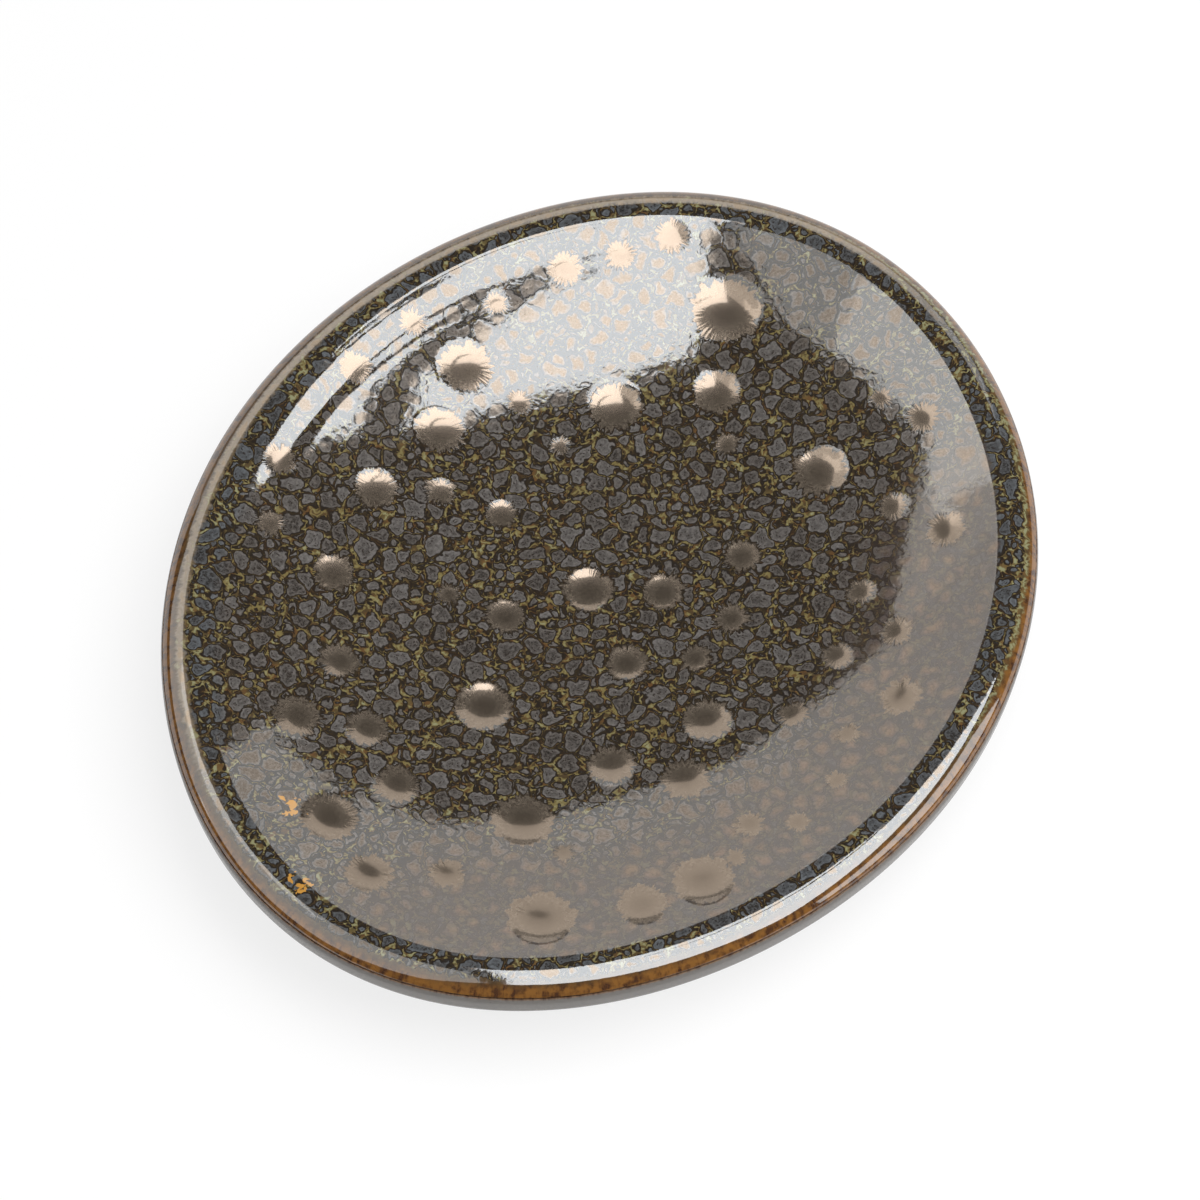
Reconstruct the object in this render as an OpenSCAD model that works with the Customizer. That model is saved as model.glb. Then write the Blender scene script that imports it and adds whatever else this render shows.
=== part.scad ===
// Soap dish: one thick, shallow, pebble-shaped stoneware bowl on a foot ring, with a speckled glaze
// inside and a plain one outside. Round dimples pressed into the bowl keep the soap off the wet floor.
// The foot ring rests on z = 0, the middle of the plan is at x = 0 and y = 0, and x runs along the dish.

/* [Plan] */
// Length of the dish
dish_l = 140; // [110:1:200]
// Width of the dish
dish_w = 118.5; // [90:0.5:170]
// Swell of the outline towards three sides, as a share of its reach
lobe3_share = 0.004; // [0:0.001:0.02]
// Where the first of the three swells points, in degrees
lobe3_turn = 50; // [0:5:115]
// Swell of the outline towards four corners, as a share of its reach
lobe4_share = 0.0055; // [0:0.0005:0.02]
// Where the first of the four swells points, in degrees
lobe4_turn = 5; // [0:5:85]

/* [Bowl] */
// Thickness of the clay, the same from the floor out to the rim
clay_t = 6.5; // [5:0.5:9]
// Depth of the bowl, from the crease inside the rim down to the floor
bowl_d = 8.2; // [5:0.1:11]
// How late the flat floor turns up into the sides
bowl_power = 2.2; // [1.6:0.1:3]

/* [Rim] */
// Width of the rim, from the edge of the dish in to the crease where the bowl begins
rim_w = 5.7; // [5:0.1:9]
// Rise of the rim from the crease to its top
rim_rise = 0.1; // [0.1:0.1:1]
// Width of the lip, the part of the rim that rounds down to the edge
lip_w = 4.1; // [2:0.1:4.5]
// Height of the lip, from the edge of the dish up to the top of the rim
lip_h = 3; // [2:0.1:3.5]
// How far the outer wall leans in below the edge
wall_lean = 0.2; // [0.2:0.1:1.2]
// Radius of the corner under the outer wall
heel_r = 2; // [1.2:0.1:2.5]

/* [Foot] */
// Height of the foot ring, which is the depth of the hollow inside it
foot_h = 2.5; // [1.5:0.5:4]
// Width of the foot ring's bare face
foot_w = 5; // [3:0.5:8]
// Size of the foot ring, as a share of the way from the middle to the crease
foot_share = 0.6; // [0.45:0.05:0.65]
// Where the outside glaze stops short of the foot ring, as a share of the same way
wipe_share = 0.7; // [0.7:0.02:0.9]

/* [Glaze] */
// Thickness of either glaze
coat_t = 0.6; // [0.3:0.1:1]
// Where the two glazes meet, as a share of the way round the lip from its top down to the edge
meet_share = 0.74; // [0.5:0.02:0.9]

/* [Dimples] */
// Width of the widest dimple
dimple_w = 10; // [6:0.5:12]
// Depth of the widest dimple
dimple_d = 0.65; // [0.4:0.05:1.2]
// How fast the depth falls off with the width: at 1, a dimple half as wide is half as deep
dimple_power = 1.5; // [1:0.1:1.8]

/* [Hidden] */

// Each dimple: its turn round the plan in degrees, its reach as a share of the way from the middle to the
// crease, and its size as a share of the widest one. They run from the middle out, turn by turn.
dimple_shares = [
    [64, 0.06, 0.72], [237, 0.18, 0.58], [310, 0.16, 0.60], [122, 0.24, 0.56],
    [267, 0.30, 0.42], [289, 0.34, 0.46], [316, 0.37, 0.50], [163, 0.37, 0.80],
    [76, 0.38, 0.46], [112, 0.39, 0.30], [251, 0.45, 0.68], [219, 0.45, 0.64],
    [48, 0.46, 0.26], [354, 0.50, 0.32], [31, 0.53, 0.76], [83, 0.54, 0.40],
    [237, 0.57, 0.68], [5, 0.60, 0.66], [197, 0.60, 0.88], [55, 0.61, 0.34],
    [265, 0.62, 0.40], [329, 0.62, 0.76], [149, 0.64, 0.58], [281, 0.64, 0.40],
    [73, 0.66, 0.68], [131, 0.66, 0.54], [165, 0.66, 0.62], [296, 0.66, 0.38],
    [91, 0.68, 0.60], [111, 0.69, 0.58], [208, 0.69, 0.28], [313, 0.75, 0.40],
    [62, 0.76, 0.76], [287, 0.77, 0.42], [266, 0.78, 0.32], [11, 0.79, 0.98],
    [141, 0.79, 0.64], [187, 0.79, 0.50], [243, 0.79, 0.42], [334, 0.83, 0.30],
    [162, 0.84, 0.80], [258, 0.85, 0.30], [275, 0.85, 0.60], [238, 0.86, 0.30],
    [305, 0.87, 0.54], [249, 0.87, 0.34], [53, 0.87, 0.32], [105, 0.88, 0.36],
    [206, 0.88, 0.94], [175, 0.88, 0.68], [232, 0.88, 0.88], [222, 0.89, 0.70],
    [326, 0.89, 0.46], [41, 0.90, 0.48], [32, 0.91, 0.42], [95, 0.93, 0.44],
    [66, 0.93, 0.36], [77, 0.93, 0.46], [24, 0.95, 0.48]
];

// Steps round the plan, and from ring to ring along the section
plan_step = 5;
bowl_rings = 8;
under_rings = 5;
rim_rings = 2;
lip_rings = 4;
edge_rings = 2;
heel_rings = 4;
// Degrees either side over which the outline's direction is taken
aim_step = 1;
// Sides of the balls that press the dimples
ball_sides = 32;
// Least that each corner leaves of the clay's thickness
lip_most_share = 0.5;
heel_most_share = 0.35;
// How deep into the clay the solids that are joined or cut with it reach, as a share of its thickness
bite_share = 0.5;

// The lip and the corner under the wall never eat the clay between them
lip_drop = min(lip_h, lip_most_share * clay_t);
heel = min(heel_r, heel_most_share * clay_t);

// Heights of the glazed surface
floor_z = foot_h + clay_t + coat_t;
crease_z = floor_z + bowl_d;
top_z = crease_z + rim_rise;
edge_z = top_z - lip_drop;

// The pebble outline, first about a reach of 1, then fitted to the dish's length and width
plan_turns = [0 : plan_step : 360 - plan_step];
function unit_point(turn) =
    let (swell3 = lobe3_share * cos(3 * (turn - lobe3_turn)))
    let (swell4 = lobe4_share * cos(4 * (turn - lobe4_turn)))
    (1 + swell3 + swell4) * [cos(turn), sin(turn)];
unit_x = [for (turn = plan_turns) unit_point(turn)[0]];
unit_y = [for (turn = plan_turns) unit_point(turn)[1]];
function fitted(value, values, size) = size * ((value - min(values)) / (max(values) - min(values)) - 1 / 2);
function edge_point(turn) =
    let (unit = unit_point(turn))
    [fitted(unit[0], unit_x, dish_l), fitted(unit[1], unit_y, dish_w)];
function edge_out(turn) =
    let (along = edge_point(turn + aim_step) - edge_point(turn - aim_step))
    [along[1], -along[0]] / norm(along);
function inset_point(turn, inset) = edge_point(turn) - inset * edge_out(turn);

// The bowl rises with the share of the way out from the middle, and the underside follows it
function rise(share) = bowl_d * pow(share, bowl_power);
function inside_z(share, depth) = floor_z + rise(share) - depth;
function under_z(share, depth) = foot_h - coat_t + rise(share) + depth;
// The underside runs on past the crease at the same rate, until the corner under the wall begins
mean_reach = (dish_l + dish_w) / 4 - rim_w;
heel_z = under_z(1 + (rim_w - wall_lean - heel) / mean_reach, 0) + heel;

// A section is a list of spots: share of the way out, inset from the edge, height. depth 0 is the surface of
// the glaze, and depth coat_t that of the clay beneath it.
function bowl_spots(depth) = [
    for (i = [1 : bowl_rings])
        let (share = i / bowl_rings)
        [share, rim_w, inside_z(share, depth)]
];
function rim_spots(depth) = [
    for (i = [1 : rim_rings])
        let (way = i / rim_rings)
        [1, rim_w - way * (rim_w - lip_w), crease_z + rim_rise * sin(90 * way) - depth]
];
function lip_spot(turn, depth) =
    [1, lip_w - (lip_w - depth) * sin(turn), edge_z + (lip_drop - depth) * cos(turn)];
meet_turn = 90 * meet_share;
function lip_spots(depth) = [for (i = [1 : lip_rings]) lip_spot(meet_turn * i / lip_rings, depth)];
function edge_spots(depth) = [
    for (i = [1 : edge_rings]) lip_spot(meet_turn + (90 - meet_turn) * i / edge_rings, depth)
];
function heel_spots(depth) = [
    for (i = [0 : heel_rings])
        let (turn = 90 * i / heel_rings)
        [1, wall_lean + heel - (heel - depth) * cos(turn), heel_z - (heel - depth) * sin(turn)]
];
function under_spots(depth, stop_share) = [
    for (share = [1, (1 + stop_share) / 2, stop_share])
        [share, rim_w, under_z(share, depth)]
];
function under_floor_spots(depth) = [
    for (i = [under_rings - 1 : -1 : 1])
        let (share = wipe_share * i / under_rings)
        [share, rim_w, under_z(share, depth)]
];
function inside_spots(depth) = concat(bowl_spots(depth), rim_spots(depth), lip_spots(depth));
function outside_spots(depth) = concat(
    edge_spots(depth), heel_spots(depth), under_spots(depth, wipe_share)
);
function backwards(list) = [for (i = [len(list) - 1 : -1 : 0]) list[i]];

// One ring of points round the plan for each spot, joined ring to ring by pairs of triangles
plan_count = len(unit_x);
function ring(spot) = [
    for (turn = plan_turns) concat(spot[0] * inset_point(turn, spot[1]), [spot[2]])
];
function band(near, far) = [
    for (k = [0 : plan_count - 1], half = [0, 1])
        let (next = (k + 1) % plan_count)
        half == 0
            ? [near * plan_count + k, far * plan_count + next, far * plan_count + k]
            : [near * plan_count + k, near * plan_count + next, far * plan_count + next]
];
function lid(index, up) =
    let (face = [for (k = [0 : plan_count - 1]) index * plan_count + k])
    up ? backwards(face) : face;

// A solid whose section starts and ends at the middle: its first and last rings are closed by flat lids
module solid_from(spots) {
    last = len(spots) - 1;
    bands = [for (i = [0 : last - 1]) each band(i, i + 1)];
    polyhedron(
        points = [for (spot = spots) each ring(spot)],
        faces = concat([lid(0, true)], bands, [lid(last, false)])
    );
}

// A solid that runs round the dish like a hoop: its section comes back to where it starts
module hoop_from(spots) {
    last = len(spots) - 1;
    polyhedron(
        points = [for (spot = spots) each ring(spot)],
        faces = [for (i = [0 : last]) each band(i, i < last ? i + 1 : 0)]
    );
}

// The balls that press the dimples, each sunk square to the slope of the bowl. spare makes room for a glaze.
function bowl_up(turn, reach) =
    let (out = edge_out(turn))
    let (crease = inset_point(turn, rim_w))
    let (slope = bowl_d * bowl_power * pow(reach, bowl_power - 1) / (crease * out))
    [-slope * out[0], -slope * out[1], 1] / norm([slope, 1]);
module dimple_balls(spare) {
    for (dimple = dimple_shares) {
        half = dimple_w * dimple[2] / 2;
        deep = dimple_d * pow(dimple[2], dimple_power);
        ball_r = (half * half + deep * deep) / (2 * deep);
        spot = concat(dimple[1] * inset_point(dimple[0], rim_w), [inside_z(dimple[1], 0)]);
        translate(spot + (ball_r - deep) * bowl_up(dimple[0], dimple[1]))
            sphere(r = ball_r + spare, $fn = ball_sides);
    }
}

// The foot ring is cut square at the bottom, so that it stands flat, and runs up into the clay
function foot_outline(inset) = [
    for (turn = plan_turns) foot_share * inset_point(turn, rim_w) - inset * edge_out(turn)
];
module foot_ring() {
    linear_extrude(height = under_z(foot_share, coat_t) + bite_share * clay_t)
        difference() {
            polygon(foot_outline(0));
            polygon(foot_outline(foot_w));
        }
}

module clay() {
    difference() {
        union() {
            solid_from(concat(
                inside_spots(coat_t), outside_spots(coat_t), under_floor_spots(coat_t)
            ));
            foot_ring();
        }
        dimple_balls(coat_t);
    }
}

module stoneware_body() {
    color([0.72, 0.68, 0.62]) clay();
}

// The glaze fills what lies between its own surface and the clay, in the dimples too
module inside_glaze() {
    core = coat_t + bite_share * clay_t;
    color([0.25, 0.23, 0.19])
        difference() {
            difference() {
                solid_from(concat(
                    inside_spots(0), [lip_spot(meet_turn, coat_t), [1, lip_w, edge_z]],
                    backwards(bowl_spots(core))
                ));
                dimple_balls(0);
            }
            clay();
        }
}

module outside_glaze() {
    color([0.49, 0.47, 0.45])
        hoop_from(concat(
            [lip_spot(meet_turn, 0)], outside_spots(0),
            backwards(outside_spots(coat_t)), [lip_spot(meet_turn, coat_t)]
        ));
}

stoneware_body();
inside_glaze();
outside_glaze();
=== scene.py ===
"""A pebble-shaped stoneware soap dish, dressed for a studio photograph.

The dish is three fired layers: the clay, a speckled glaze inside and a plain grey one outside. Each is a
closed mesh made from the same plan and section as the packed solids, with finer rings, and each takes a
finish of nodes. Sizes are in metres and turns in degrees.
"""

import math

import bpy
import numpy as np
from bpy.props import FloatProperty, FloatVectorProperty, PointerProperty
from mathutils import Matrix, Vector


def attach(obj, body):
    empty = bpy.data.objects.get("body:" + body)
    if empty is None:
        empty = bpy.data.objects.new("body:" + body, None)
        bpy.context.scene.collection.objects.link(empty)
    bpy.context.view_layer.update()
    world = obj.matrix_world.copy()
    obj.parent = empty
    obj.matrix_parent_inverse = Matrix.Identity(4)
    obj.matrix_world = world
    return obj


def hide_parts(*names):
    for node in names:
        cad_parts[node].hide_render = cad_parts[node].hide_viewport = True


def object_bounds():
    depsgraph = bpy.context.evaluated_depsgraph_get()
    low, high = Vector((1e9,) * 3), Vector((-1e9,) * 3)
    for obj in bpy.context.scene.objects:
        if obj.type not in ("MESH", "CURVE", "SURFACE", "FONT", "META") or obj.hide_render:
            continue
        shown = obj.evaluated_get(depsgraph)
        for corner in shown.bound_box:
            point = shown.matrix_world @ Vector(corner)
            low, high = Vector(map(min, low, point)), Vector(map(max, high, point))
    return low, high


bl_info = {
    "name": "Pebble Soap Dish",
    "version": (1, 0, 0),
    "blender": (4, 5, 0),
    "location": "3D View > Sidebar > Soap Dish",
    "description": "Builds a glazed stoneware soap dish and its studio",
    "category": "Add Mesh",
}

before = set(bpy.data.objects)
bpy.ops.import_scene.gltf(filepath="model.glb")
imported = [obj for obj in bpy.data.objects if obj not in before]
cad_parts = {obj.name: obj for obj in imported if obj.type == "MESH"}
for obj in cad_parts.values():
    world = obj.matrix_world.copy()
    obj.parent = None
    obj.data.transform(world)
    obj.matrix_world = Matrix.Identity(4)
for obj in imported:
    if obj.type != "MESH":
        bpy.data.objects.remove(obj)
CAD_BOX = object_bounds()

MM = 0.001

# Plan of the pebble: how far its reach swells towards three sides and towards four corners, and where
LOBES = ((3, 0.004, 50), (4, 0.0055, 5))
# Degrees between the points that give the plan's bounds, and to either side for its outward way
PLAN_STEP, AIM_STEP = 5, 1

# Each dimple: turn round the plan in degrees, and in hundredths its reach on the way from the middle to the
# crease and its size beside the widest one
DIMPLE_SHARES = (
    (64, 6, 72), (237, 18, 58), (310, 16, 60), (122, 24, 56), (267, 30, 42), (289, 34, 46),
    (316, 37, 50), (163, 37, 80), (76, 38, 46), (112, 39, 30), (251, 45, 68), (219, 45, 64),
    (48, 46, 26), (354, 50, 32), (31, 53, 76), (83, 54, 40), (237, 57, 68), (5, 60, 66), (197, 60, 88),
    (55, 61, 34), (265, 62, 40), (329, 62, 76), (149, 64, 58), (281, 64, 40), (73, 66, 68),
    (131, 66, 54), (165, 66, 62), (296, 66, 38), (91, 68, 60), (111, 69, 58), (208, 69, 28),
    (313, 75, 40), (62, 76, 76), (287, 77, 42), (266, 78, 32), (11, 79, 98), (141, 79, 64),
    (187, 79, 50), (243, 79, 42), (334, 83, 30), (162, 84, 80), (258, 85, 30), (275, 85, 60),
    (238, 86, 30), (305, 87, 54), (249, 87, 34), (53, 87, 32), (105, 88, 36), (206, 88, 94),
    (175, 88, 68), (232, 88, 88), (222, 89, 70), (326, 89, 46), (41, 90, 48), (32, 91, 42),
    (95, 93, 44), (66, 93, 36), (77, 93, 46), (24, 95, 48),
)
# How softly a dimple's edge rounds over, as a share of its depth, and how far it reaches in half widths
DIMPLE_SOFTNESS, DIMPLE_REACH = 0.13, 1.8
# How far inside a dimple a point counts that is near none
NO_DIMPLE = -3 * MM
# Where the bowl's wall starts, as a share of the way to the edge, and how much further it is full. A dimple
# there is rounder by this power and shallower by this share.
WALL_START, WALL_GROWS = 0.45, 0.3
WALL_ROUNDER, WALL_SHALLOWER = 0.6, 0.35

# The shallow ripple inside the crease: turn and width in degrees of each crest, and its height
RIPPLES = ((92, 16, 0.16 * MM), (68, 12, 0.06 * MM), (30, 14, 0.03 * MM))
RIPPLE_LENGTH = 6.4 * MM
# How far inside the crease it starts, is full and ends, and how long it takes to die away
RIPPLE_START, RIPPLE_FULL, RIPPLE_END, RIPPLE_DIES = 0.4 * MM, 1.2 * MM, 8 * MM, 3 * MM

# Rings from the middle to the crease, on the glaze and on the clay, and how many points each adds
FACE_RINGS, BED_RINGS, RING_GROWS = 110, 56, 6
# Rings over the land, the lip, its outer part, the corner under the wall, the underside and inside the foot
# ring, over the first two where they are hidden, and points in each ring of the wall
LAND_RINGS, LIP_RINGS, EDGE_RINGS, HEEL_RINGS, UNDER_RINGS, ROOF_RINGS = 5, 18, 5, 7, 8, 23
HIDDEN_LAND_RINGS, HIDDEN_LIP_RINGS = 2, 6
WALL_POINTS = 360
# Faces that meet at more than this many degrees keep a sharp edge between them
SHARP_EDGE = 50

# How much sooner the grey glaze starts than the speckled one ends, as a share of the way round the lip
MEET_LAP = 0.001
# Shares of the bowl over which the grey glaze rolls to the wiped line and is toasted, and the roll's rings
ROLL, TOAST, ROLL_TURNS = 0.02, 0.05, (20, 45, 70, 88)
# Where and how far the wiped line wanders, and each wave of it: swings in a turn, start in radians, strength
WANDER_START, WANDER_GROWS, WANDER = 0.78, 0.08, 0.006
WAVES = ((3, 1.0, 1.0), (7, 2.1, 0.6), (17, 0.0, 0.35))
# The foot ring: radius of its edges and fillets, the reach that its inner side is placed by, and its share of
# the bowl on the way to the roof inside; then the rings of each rounding, in degrees
FOOT_EDGE, FOOT_FILLET, FOOT_REACH = 0.5 * MM, 0.9 * MM, 58.6 * MM
FOOT_GAP, FOOT_TURNS = 0.035, (0, 30, 60, 90)


def tone(red, green, blue):
    """A screen colour from 0 to 255, as the linear numbers that a shader takes."""
    shares = [part / 255 for part in (red, green, blue)]
    return tuple(s / 12.92 if s <= 0.04045 else ((s + 0.055) / 1.055) ** 2.4 for s in shares)


def setting(name, description, default, **more):
    return FloatProperty(name=name, description=description, default=default, **more)


def length(name, description, default):
    return setting(name, description, default, unit="LENGTH", subtype="DISTANCE")


def share(name, description, default):
    return setting(name, description, default, subtype="FACTOR", min=0, max=1)


def angle(name, description, default):
    return setting(name, description, math.radians(default), subtype="ANGLE")


def colour(name, description, screen):
    return FloatVectorProperty(
        name=name, description=description, default=tone(*screen), subtype="COLOR", size=3, min=0, max=1
    )


class DishForm(bpy.types.PropertyGroup):
    """Sizes of the dish."""

    long: length("Length", "Length of the dish", CAD_BOX[1].x - CAD_BOX[0].x)
    wide: length("Width", "Width of the dish", CAD_BOX[1].y - CAD_BOX[0].y)
    clay: length("Clay", "Thickness of the clay", 6.5 * MM)
    coat: length("Coat", "Thickness of either glaze", 0.6 * MM)
    bowl: length("Bowl depth", "Depth of the bowl from the crease to the floor", 8.2 * MM)
    power: setting("Bowl power", "How late the floor turns up", 2.2)
    rim: length("Rim", "Width of the rim, from the edge in to the crease", 5.7 * MM)
    rise: length("Rim rise", "Rise of the rim from the crease to its top", 0.1 * MM)
    lip: length("Lip width", "Width of the part of the rim that rounds down", 4.1 * MM)
    drop: length("Lip height", "Height of the lip above the widest line", 3 * MM)
    lean: length("Wall lean", "How far the wall leans in below the edge", 0.2 * MM)
    meet: share("Meeting line", "Where the glazes meet, as a share of the way round the lip", 0.74)
    heel: length("Heel", "Radius of the corner under the wall", 2 * MM)
    foot: length("Foot height", "Height of the foot ring", 2.5 * MM)
    foot_wide: length("Foot width", "Width of the foot ring's bare face", 5 * MM)
    foot_share: share("Foot place", "Size of the foot ring, as a share of the bowl", 0.6)
    wipe_share: share("Wiped line", "Where the outside glaze stops, as a share of the bowl", 0.7)
    dimple_wide: length("Dimple width", "Width of the widest dimple", 10 * MM)
    dimple_deep: length("Dimple depth", "Depth of the widest dimple", 0.68 * MM)
    dimple_power: setting("Dimple power", "How fast depth falls off with width", 2.0)
    dimple_skew: share("Dimple skew", "How far out the deepest point of a dimple by the rim lies", 0.6)
    dimple_flat: setting("Dimple floor", "How flat a dimple's floor is; 2 is a ball", 2.6)


class GlazeLook(bpy.types.PropertyGroup):
    """Colours of the glazes."""

    cell: colour("Cell", "Middle tone of the grey cells", (92, 87, 83))
    cell_cool: colour("Cool cell", "Bluish tone of the cells by the rim", (77, 80, 83))
    outline: colour("Outline", "Dark line round each cell", (30, 24, 19))
    ground: colour("Ground", "Brown glass between the cells", (70, 56, 36))
    vein: colour("Vein", "Olive veins in the ground", (116, 104, 64))
    pale: colour("Pale vein", "Pale green where the veins meet", (136, 136, 104))
    rust: colour("Rust", "Rust beside the veins", (92, 66, 38))
    pit: colour("Dimple", "Deep glass in the dimples", (50, 45, 38))
    bank: colour("Dimple side", "Grey on the sides of the dimples", (80, 73, 64))
    drowned: colour("Drowned", "Deep glass over the cells at the low side of the bowl", (62, 53, 51))
    drowned_light: colour("Drowned light", "Blurred cells under the deep glass", (114, 94, 83))
    worn: colour("Worn", "Thin tan glaze on the far side of the lip", (146, 128, 104))
    amber: colour("Amber", "Where the glaze thins over the lip", (130, 88, 40))
    amber_dark: colour("Dark amber", "Streaks in the amber", (74, 46, 26))
    flake: colour("Flake", "Ochre flakes", (196, 142, 62))
    lustre: colour("Lustre", "Peach tint of what the dimples mirror", (255, 232, 210))
    pearl: colour("Pearl", "Cream tint of what the cells mirror", (255, 236, 216))
    glass: colour("Glass", "Cool tint of what the ground mirrors", (246, 251, 255))
    outside: colour("Outside", "Warm grey glaze of the wall and underside", (108, 103, 98))


class ClayLook(bpy.types.PropertyGroup):
    """Colours of the bare clay."""

    body: colour("Clay", "Bare fired clay", (190, 177, 158))
    toast: colour("Toasted clay", "Clay flashed brown beside the glaze", (156, 122, 88))
    speck: colour("Speck", "Iron specks in the clay", (92, 66, 48))


class StudioLook(bpy.types.PropertyGroup):
    """Camera, lamps and floor."""

    camera_high: angle("Camera height", "Elevation of the camera above the floor", 58)
    camera_round: angle("Camera azimuth", "Azimuth of the camera, 0 looking along Y", -60)
    camera_away: length("Camera distance", "From the camera to where it aims", 1.0)
    lens: setting("Lens", "Focal length", 212.7, unit="CAMERA")
    aim_high: length("Aim", "Height over the floor at which the camera aims", 11.5 * MM)
    softbox: setting("Softbox", "Brightness of the main softbox, where 1 is white", 6.1)
    side: setting("Side panel", "Brightness of the wide panel on the left", 1.65)
    window: setting("Side windows", "Brightness of the windows on both sides", 3.1)
    low: setting("Low screen", "Brightness of the brown screen low behind", 0.3)
    back: setting("Back panel", "Brightness of the low panel behind", 1.42)
    fill: setting("Fill", "Brightness of the room's soft light", 0.15)
    gloom: setting("Gloom", "Brightness of the dark ceiling in reflections", 0.07)


class Pebble:
    """The plan and the section of the dish, by the rules that its solids follow."""

    def __init__(self, form):
        self.form = form
        unit = self.unit_point(np.arange(0, 360, PLAN_STEP))
        self.lowest, self.spread = unit.min(0), np.ptp(unit, axis=0)
        self.size = np.array([form.long, form.wide])
        self.reach = self.size.mean() / 2
        self.bowl_reach = self.reach - form.rim
        self.floor_z = form.foot + form.clay + form.coat
        self.crease_z = self.floor_z + form.bowl
        self.edge_z = self.crease_z + form.rise - form.drop
        past_crease = (form.rim - form.lean - form.heel) / self.bowl_reach
        self.heel_z = self.under_z(1 + past_crease, 0) + form.heel
        self.dimples = [self.dimple(*row) for row in DIMPLE_SHARES]

    def unit_point(self, turns):
        turns = np.asarray(turns, float)
        reach = 1 + sum(swell * np.cos(np.radians(sides * (turns - to))) for sides, swell, to in LOBES)
        return np.stack([reach * np.cos(np.radians(turns)), reach * np.sin(np.radians(turns))], -1)

    def edge_point(self, turns):
        return self.size * ((self.unit_point(turns) - self.lowest) / self.spread - 0.5)

    def edge_out(self, turns):
        turns = np.asarray(turns, float)
        along = self.edge_point(turns + AIM_STEP) - self.edge_point(turns - AIM_STEP)
        out = np.stack([along[..., 1], -along[..., 0]], -1)
        return out / np.linalg.norm(out, axis=-1, keepdims=True)

    def inset_point(self, turns, inset):
        return self.edge_point(turns) - inset * self.edge_out(turns)

    def climb(self, at):
        return self.form.bowl * np.power(at, self.form.power)

    def inside_z(self, at, depth):
        return self.floor_z + self.climb(at) - depth

    def under_z(self, at, depth):
        return self.form.foot - self.form.coat + self.climb(at) + depth

    def toasted(self, at):
        """1 at the wiped line, down to 0 where the toasting ends."""
        return max(0.0, 1 - (at - self.form.wipe_share) / TOAST)

    def dimple(self, turn, reach, size):
        """Middle, half width and depth of one dimple."""
        size = size / 100
        middle = reach / 100 * self.inset_point(turn, self.form.rim)
        return middle, self.form.dimple_wide * size / 2, self.form.dimple_deep * size**self.form.dimple_power

    def on_wall(self, middle):
        """0 for a dimple on the flat of the bowl, up to 1 for one on its wall."""
        return float(np.clip((np.linalg.norm(middle / (self.size / 2)) - WALL_START) / WALL_GROWS, 0, 1))

    def pressed(self, points):
        """How far the dimples lower each point, how far inside the nearest one's edge it lies, and its place
        in that dimple, where 1 is the edge."""
        drop = np.zeros(len(points))
        inside = np.full(len(points), NO_DIMPLE)
        aim = np.ones((len(points), 2))
        for middle, half, deep in self.dimples:
            off = points[:, :2] - middle
            away = np.linalg.norm(off, axis=1)
            near = away < DIMPLE_REACH * half
            place = off[near] / half
            inwards = np.clip(1 - (place**2).sum(1), 0, 1)[:, None]
            wall = self.on_wall(middle)
            skew = wall * self.form.dimple_skew * middle / np.linalg.norm(middle)
            skewed = np.linalg.norm(place - inwards * skew, axis=1)
            bulge = 1 - skewed ** (self.form.dimple_flat - wall * WALL_ROUNDER)
            soft = (bulge + np.sqrt(bulge**2 + DIMPLE_SOFTNESS**2)) / 2
            drop[near] = np.maximum(drop[near], deep * (1 - wall * WALL_SHALLOWER) * soft)
            own = half - away > inside
            aim[own] = off[own] / half
            inside[own] = (half - away)[own]
        return drop, inside, aim

    def press(self, points, at, turns):
        """Presses the dimples into a ring."""
        drop, inside, aim = self.pressed(points)
        points[:, 2] -= drop
        return points, inside, aim

    def press_face(self, points, at, turns):
        """Presses the dimples and the ripple into a ring of the glaze's face."""
        points, inside, aim = self.press(points, at, turns)
        points[:, 2] += self.ripple(at, turns)
        return points, inside, aim

    def bowl_middle_z(self, depth):
        """Height of the point in the middle of the bowl, pressed as its dimple is."""
        return self.inside_z(0, depth) - self.pressed(np.zeros((1, 2)))[0][0]

    def ripple(self, at, turns):
        """A shallow ring that the tool left inside the crease, deepest on the far left."""
        inwards = (1 - at) * self.reach
        strength = 0
        for to, wide, high in RIPPLES:
            off = ((turns - to + 180) % 360 - 180) / wide
            strength = strength + high * np.exp(-(off**2))
        grow = np.clip(inwards / RIPPLE_FULL, 0, 1)
        die = np.clip((RIPPLE_END - inwards) / RIPPLE_DIES, 0, 1)
        return strength * grow * die * np.sin(2 * math.pi * (inwards - RIPPLE_START) / RIPPLE_LENGTH)

    # Each part of the section gives its spots as (share, inset, height, extra inset), outwards or downwards.
    # The land runs from past the crease to the top of the lip.
    def land_spots(self, depth, rings):
        form = self.form
        for way in np.arange(1, rings + 1) / rings:
            height = self.crease_z + form.rise * math.sin(math.pi / 2 * way) - depth
            yield 1, form.rim - way * (form.rim - form.lip), height, 0

    def lip_spots(self, depth, rings, start, stop):
        """Rings round the lip between two shares of the way from its top to the edge, without the first."""
        form = self.form
        for turn in math.pi / 2 * np.linspace(start, stop, rings + 1)[1:]:
            inset = form.lip - (form.lip - depth) * math.sin(turn)
            yield 1, inset, self.edge_z + (form.drop - depth) * math.cos(turn), 0

    def rim_spots(self, depth, stop, land_rings=HIDDEN_LAND_RINGS, lip_rings=HIDDEN_LIP_RINGS):
        """The land and the lip."""
        yield from self.land_spots(depth, land_rings)
        yield from self.lip_spots(depth, lip_rings, 0, stop)

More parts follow.
